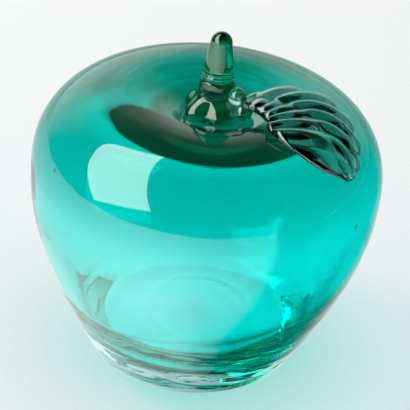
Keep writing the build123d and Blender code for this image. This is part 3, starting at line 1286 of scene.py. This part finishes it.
@dataclass
class Leaf:
    """The pressed leaf with its midrib, curved ribs and scalloped edge, and the drops that hold it."""

    foot: Foot = field(default_factory=Foot)
    joint_radius: float = 2.9
    joint_upper_rise: float = 2.1
    joint_spacing: float = 4.6
    joint_bite: float = 1.4
    joint_heading: float = radians(-29.0)
    joint_grid: Grid = (40, 64)
    root_bite: float = 0.4
    first_run: float = 20.7
    first_heading: float = radians(12.0)
    second_run: float = 33.2
    second_heading: float = radians(-71.8)
    near_width: float = 16.3
    far_width: float = 14.6
    thickness: float = 3.8
    edge_thickness: float = 2.0
    gap: float = 0.6
    rib_count: int = 7
    rib_height: float = 0.9
    scallop_depth: float = 1.3
    near_widest: float = 0.62
    far_widest: float = 0.5
    root_width: float = 0.2
    least_width: float = 0.02
    end: float = 0.985
    near_sweep: float = 0.22
    far_sweep: float = 0.26
    lobe_crown: float = 0.45
    lobe_hollow: float = 0.2
    cap_shares: tuple[float, ...] = (0.25, 0.5, 0.72, 0.88, 0.97, 1.0)
    cap_length: float = 0.4
    stations: int = 260
    across: int = 44
    edge_steps: int = 9

    def joint_place(self, height: float) -> Triple:
        """Middle of a drop at this height, before the lean."""
        reach = float(np.interp(height, *self.foot.tables())) + self.joint_radius - self.joint_bite
        return (self.foot.offset + reach * cos(self.joint_heading), reach * sin(self.joint_heading), height)

    @property
    def upper_height(self) -> float:
        """Height of the upper drop's middle."""
        return self.foot.shape.rim_height + self.gap + self.joint_upper_rise

    def route(self) -> tuple[Array, Array, Array]:
        """Root, bend and tip of the midrib, seen from above."""

        def run(length: float, heading: float) -> Array:
            """A step of this length along a heading."""
            return length * np.array([cos(heading), sin(heading)])

        out = run(self.joint_radius - self.root_bite, self.joint_heading)
        root = np.array(self.joint_place(self.upper_height)[:2]) + out
        bend = root + run(self.first_run, self.first_heading)
        return root, bend, bend + run(self.second_run, self.second_heading)

    def width_share(self, t: Array, widest: float) -> Array:
        """Half width along one lobe.

        Args:
            t: Places along the leaf, from 0 to 1.
            widest: The place where the lobe is widest.

        Returns:
            The half width at each place, as a share of the widest.
        """
        growth = np.sin(pi / 2 * np.minimum(t / widest, 1.0))
        past = np.clip((t - widest) / (1 - widest), 0.0, 1.0)
        return (self.root_width + (1 - self.root_width) * growth) * np.sqrt(1 - past**3)

    def wave(self, s: float) -> float:
        """Rise of the ribs at this station: round crests and sharp hollows."""
        return (1 - (2 * s - 1) ** 6) * abs(cos(pi * self.rib_count * s))

    def section(self, s: float) -> tuple[Array, Array]:
        """One section of the leaf.

        Args:
            s: The station along the leaf, from 0 at the root to 1 at the tip.

        Returns:
            The ring of points, before the lean, and how far each lies on top, from 0 to 1.
        """
        root, bend, tip = self.route()
        v = np.cos(np.linspace(0.0, pi, self.across))
        sweep = np.where(v < 0, -self.near_sweep * v * v, self.far_sweep * v)
        t = self.end * (s + 4 * s * (1 - s) * sweep)
        share = np.where(v < 0, self.width_share(t, self.near_widest), self.width_share(t, self.far_widest))
        share = np.maximum(share, self.least_width)
        t = t[:, None]
        middle = (1 - t) ** 2 * root + 2 * t * (1 - t) * bend + t * t * tip
        run = (1 - t) * (bend - root) + t * (tip - bend)
        run /= np.hypot(*run.T)[:, None]
        side = np.column_stack([-run[:, 1], run[:, 0]])
        edge = self.edge_thickness * np.sqrt(share)
        fill = (self.thickness - self.edge_thickness) * np.sqrt(share)
        width = np.where(v > 0, self.far_width - self.scallop_depth * v * (1 - self.wave(s)), self.near_width)
        at = middle + side * (v * (share * width - edge / 2))[:, None]
        crown = 1 - ((np.abs(v) - self.lobe_crown) / (1 - self.lobe_crown)) ** 2
        low = self.foot.shape.shoulder_height(np.hypot(at[:, 0], at[:, 1])) + self.gap
        low += fill * (1 - crown) * self.lobe_hollow
        high = low + edge + fill * crown * (1 - self.lobe_hollow)

        def bulge(corner: int, way: float) -> tuple[Array, Array]:
            """Round edge at one end of the section, and how far each point lies on top."""
            arc = np.linspace(-way * pi / 2, way * pi / 2, self.edge_steps)[1:-1]
            out = side[corner] * way * edge[corner] / 2
            mid, half = (high[corner] + low[corner]) / 2, (high[corner] - low[corner]) / 2
            points = np.column_stack([at[corner] + np.outer(np.cos(arc), out), mid + half * np.sin(arc)])
            return points, np.maximum(np.sin(arc), 0.0)

        near, near_top = bulge(-1, -1.0)
        far, far_top = bulge(0, 1.0)
        ring = np.vstack([np.column_stack([at, high]), near, np.column_stack([at, low])[::-1], far])
        return ring, np.concatenate([np.ones(len(v)), near_top, np.zeros(len(v)), far_top])

    def cap(self, ring: Array, inner: Array) -> list[Array]:
        """Rings that round off one end.

        Args:
            ring: The last section.
            inner: The section before it.

        Returns:
            Smaller and smaller rings, out to a point.
        """
        middle, step = ring.mean(0), (ring - inner).mean(0)
        out = step / np.linalg.norm(step) * self.edge_thickness * self.cap_length
        return [middle + (ring - middle) * np.sqrt(1 - share**2) + out * share for share in self.cap_shares]

    def blank(self) -> Piece:
        """The leaf before its ribs are raised, with its stations kept as attributes."""
        stations = np.linspace(0.0, 1.0, self.stations)
        rings, tops = map(list, zip(*(self.section(float(s)) for s in stations)))
        count = len(self.cap_shares)
        rings = self.cap(rings[0], rings[1])[::-1] + rings + self.cap(rings[-1], rings[-2])
        raised = np.pad(np.stack(tops), ((count, count), (0, 0)))
        along = np.repeat(np.pad(stations, count, mode="edge")[:, None], raised.shape[1], 1)
        piece = make_piece("apple_leaf", [Shell(self.foot.shape.leaned(np.stack(rings)), inward=True)])
        for name, rows in (("along", along), ("raised", raised)):
            values = np.concatenate([rows[1:-1].reshape(-1), [0.0, 0.0]])
            kept = piece.data.attributes.new(name, "FLOAT", "POINT")
            kept.data.foreach_set("value", values.astype(np.float32))
        return piece

    def drop(self, name: str, height: float) -> Piece:
        """One drop between the stem and the leaf."""
        rings = ball(self.joint_radius, self.joint_radius, self.joint_grid)
        return make_piece(name, [Shell(self.foot.shape.leaned(rings + self.joint_place(height)))])

    def dress(self, glass: Glass) -> list[Piece]:
        """The leaf with its ribs, and its two drops, in their glasses."""
        sizes = {"Rib Count": float(self.rib_count), "Rib Height": self.rib_height * MM}
        others = {"Lean": self.foot.shape.lean, "Finish": glass["leaf"]}
        leaf = rib_mould().press(self.blank(), {**sizes, **others})
        upper, lower = self.upper_height, self.upper_height - self.joint_spacing
        return [
            finished(leaf, glass["leaf"], Slot.LEAF, "leaf"),
            finished(self.drop("apple_drop_upper", upper), glass["joint"], Slot.JOINT, "leaf_joint_upper"),
            finished(self.drop("apple_drop_lower", lower), glass["joint"], Slot.JOINT, "leaf_joint_lower"),
        ]


@dataclass(frozen=True)
class Bubble:
    """One larger bubble in the wall, drawn out along it."""

    turn: float
    height: float
    half_length: float
    half_width: float
    slope: float
    depth: float = 0.9
    flare: float = radians(20)
    grid: Grid = (18, 24)

    def shell(self, shape: BodyShape) -> Shell:
        """The bubble's skin.

        Args:
            shape: The body that it lies in.

        Returns:
            The skin, just under the body's outside.
        """
        angles = ((self.turn, "Z"), (self.slope, "X"), (self.flare, "Y"))
        spin, slope, flare = (Matrix.Rotation(angle, 3, axis) for angle, axis in angles)
        radius = shape.side_radius(self.height) - self.depth
        place = np.array([radius * cos(self.turn), radius * sin(self.turn), self.height])
        rings = ball(self.half_width, self.half_length, self.grid) @ np.array(spin @ slope @ flare).T
        return Shell(shape.leaned(rings + place))


@dataclass
class Inclusions:
    """The seeds all through the clear wall, and the bubbles large enough to see one by one."""

    shape: BodyShape = field(default_factory=BodyShape)
    sheet_wall: tuple[float, ...] = (1.3, 1.2, 1.6, 5.7)
    sheet_grid: Grid = (64, 60)
    density: float = 900.0
    seed: int = 7
    least_radius: float = 0.06
    most_radius: float = 0.16
    drawn_out: float = 1.5
    bubbles: tuple[Bubble, ...] = (
        Bubble(radians(-136.6), 26.5, 2.6, 0.65, radians(36), depth=1.1),
        Bubble(radians(-149.8), 77.1, 0.9, 0.5, radians(20)),
        Bubble(radians(-33.8), 68.9, 1.0, 0.55, radians(15)),
    )

    def seeds(self, material: bpy.types.Material) -> Piece:
        """The seeds, spread over a sheet halfway through the wall.

        Args:
            material: Their glass.

        Returns:
            The seeds as one piece.
        """
        sheet = make_piece("seed_sheet", [Shell(self.shape.lining_rings(self.sheet_wall, self.sheet_grid))])
        sizes = {"Least Radius": self.least_radius * MM, "Most Radius": self.most_radius * MM}
        others = {"Density": self.density, "Seed": self.seed, "Drawn Out": self.drawn_out}
        piece = seed_mould().press(sheet, {**sizes, **others, "Finish": material})
        piece.name = "apple_seeds"
        return piece

    def dress(self, glass: Glass) -> list[Piece]:
        """The seeds and the bubbles, in their glass."""
        seeds = self.seeds(glass["seed"])
        large = make_piece("apple_bubbles", [bubble.shell(self.shape) for bubble in self.bubbles])
        return [finished(piece, glass["seed"], Slot.CASING) for piece in (seeds, large)]


# Studio


@dataclass(frozen=True)
class Panel:
    """A flat lit sheet given by its corners in millimetres, seen only in the glass."""

    name: str
    corners: tuple[Triple, ...]
    level: float

    def build(self) -> None:
        """Set up the lit sheet."""
        mesh = bpy.data.meshes.new(self.name)
        corners = [tuple(c * MM for c in corner) for corner in self.corners]
        mesh.from_pydata(corners, [], [tuple(range(len(corners)))])
        material = bpy.data.materials.new(self.name)
        wire = cleared(material)
        glow = wire.node("ShaderNodeEmission", Strength=self.level)
        wire.node("ShaderNodeOutputMaterial", Surface=glow.outputs[0])
        mesh.materials.append(material)
        sheet = add_object(self.name, mesh)
        sheet.visible_camera = sheet.visible_diffuse = sheet.visible_shadow = False


@dataclass(frozen=True)
class Lamp:
    """A square lamp that lights the floor and isn't seen in the glass."""

    name: str
    place: Triple
    side: float
    watts: float
    aim: Triple = (0.0, 0.0, 0.04)

    def build(self) -> None:
        """Set up the lamp, aimed at the apple."""
        light = bpy.data.lights.new(self.name, "AREA")
        light.shape, light.size, light.energy = "SQUARE", self.side, self.watts
        lamp = add_object(self.name, light)
        lamp.location = self.place
        lamp.rotation_euler = (Vector(self.aim) - lamp.location).to_track_quat("-Z", "Y").to_euler()
        lamp.visible_camera = lamp.visible_glossy = lamp.visible_transmission = False


@dataclass
class Studio:
    """Camera, floor, surroundings and lamps."""

    elevation: float = radians(32.0)
    roll: float = radians(3.0)
    distance: float = 0.6
    target: Triple = (-0.00003, 0.0, 0.05224)
    lens: float = 158.8
    sensor: float = 36.0
    clip: Span = (0.01, 50.0)
    floor_reach: float = 4.0
    floor_gap: float = 0.05
    floor_colour: Triple = (0.855, 0.865, 0.87)
    surroundings: Triple = (0.85, 0.85, 0.85)
    mirrored: Room = Room(
        "Room mirrored in the glass",
        floor=(
            *((-180, 1.0), (-150, 1.2), (-120, 1.7), (-90, 2.7), (-60, 4.0)),
            *((-35, 4.5), (-15, 3.9), (0, 2.9), (20, 2.1), (40, 1.4)),
            *((46, 1.2), (48, 0.8), (135, 0.8), (160, 0.8), (180, 1.0)),
        ),
        rise=((-90, 0.2), (-75, 0.5), (-55, 1.0), (-40, 0.95), (-20, 0.65), (-5, 0.55), (0, 0.5)),
        back=((-180, 1.2), (-160, 1.4), (-140, 0.9), (-125, 0.02), (130, 0.02), (150, 0.5), (180, 0.9)),
        wall=((0, 1.0), (14, 1.0), (27, 0.6), (37, 0.12), (46, 0.02), (90, 0.01)),
        shade=1.0,
    )
    through: Room = Room(
        "Room seen through the glass",
        floor=((-180, 0.9), (180, 0.9)),
        rise=((-90, 1.15), (-30, 1.0), (0, 1.0)),
        back=(
            *((-180, 1.0), (-130, 0.95), (-90, 0.85), (-50, 0.7)),
            *((-20, 0.2), (20, 0.2), (50, 0.9), (180, 1.0)),
        ),
        wall=((0, 0.95), (25, 0.9), (45, 0.75), (60, 0.55), (90, 0.35)),
    )
    panel: Panel = Panel(
        "tall_panel", ((-347, 267, 640), (-97, 236, 675), (-101, -180, 153), (-351, -149, 117)), level=6.9
    )
    lamps: tuple[Lamp, ...] = (
        Lamp("back_left_lamp", (-1.75, 0.7, 1.6), 0.8, 32.5),
        Lamp("overhead_lamp", (0.2, -0.2, 2.6), 1.6, 11.5),
    )

    def camera(self) -> None:
        """Camera at the height and tilt that the picture was taken from."""
        back = Vector((0.0, -cos(self.elevation), sin(self.elevation)))
        right = Vector((1.0, 0.0, 0.0))
        up = right.cross(-back)
        across = cos(self.roll) * right + sin(self.roll) * up
        upright = -sin(self.roll) * right + cos(self.roll) * up
        data = bpy.data.cameras.new("camera")
        data.lens, data.sensor_width, (data.clip_start, data.clip_end) = self.lens, self.sensor, self.clip
        camera = add_object("camera", data)
        turn = Matrix((across, upright, back)).transposed().to_4x4()
        camera.matrix_world = Matrix.Translation(Vector(self.target) + self.distance * back) @ turn
        bpy.context.scene.camera = camera

    def floor(self) -> None:
        """Plain pale floor under everything; the glass shows the room in its place."""
        reach, low = self.floor_reach, -self.floor_gap * MM
        mesh = bpy.data.meshes.new("floor")
        corners = [(-reach, -reach, low), (reach, -reach, low), (reach, reach, low), (-reach, reach, low)]
        mesh.from_pydata(corners, [], [(0, 1, 2, 3)])
        material = bpy.data.materials.new("pale_floor")
        wire = cleared(material)
        matt = wire.node("ShaderNodeBsdfDiffuse", Color=(*self.floor_colour, 1.0))
        wire.node("ShaderNodeOutputMaterial", Surface=matt.outputs[0])
        mesh.materials.append(material)
        floor = add_object("floor", mesh)
        floor.visible_glossy = floor.visible_transmission = False

    def world(self) -> None:
        """Surroundings: the room as each kind of ray sees it."""
        world = bpy.data.worlds.new("room")
        bpy.context.scene.world = world
        wire = cleared(world)
        way = wire.node("ShaderNodeTexCoord").outputs["Generated"]
        path = wire.node("ShaderNodeLightPath").outputs
        mirrored, through = self.mirrored.build(), self.through.build()
        last: object = (*self.surroundings, 1.0)
        rays = (("Is Glossy Ray", mirrored), ("Is Transmission Ray", through), ("Is Diffuse Ray", through))
        for ray, room in rays:
            last = wire.mix(path[ray], last, wire.group(room, Way=way)["Color"])
        back = wire.node("ShaderNodeBackground", Color=last, Strength=1.0)
        wire.node("ShaderNodeOutputWorld", Surface=back.outputs[0])

    def build(self) -> None:
        """Set the whole studio up."""
        scene = bpy.context.scene
        scene.view_settings.view_transform = "Standard"
        scene.cycles.max_bounces = scene.cycles.transparent_max_bounces = 40
        scene.cycles.transmission_bounces = 32
        scene.cycles.glossy_bounces = 8
        scene.cycles.diffuse_bounces = 3
        scene.cycles.caustics_refractive = scene.cycles.caustics_reflective = False
        scene.cycles.use_denoising = True
        self.camera()
        self.floor()
        self.world()
        self.panel.build()
        for lamp in self.lamps:
            lamp.build()


def main() -> None:
    """Build the studio and the apple's sub-assemblies."""
    logging.basicConfig(level=logging.INFO, format="%(name)s %(message)s")
    Studio().build()
    glass = Finishes().build()
    for assembly in (Body(), Foot(), Stem(), Leaf(), Inclusions()):
        for piece in assembly.dress(glass):
            log.info("%s: %d faces, %s", piece.name, len(piece.data.polygons), piece.data.materials[0].name)


if __name__ == "__main__":
    main()
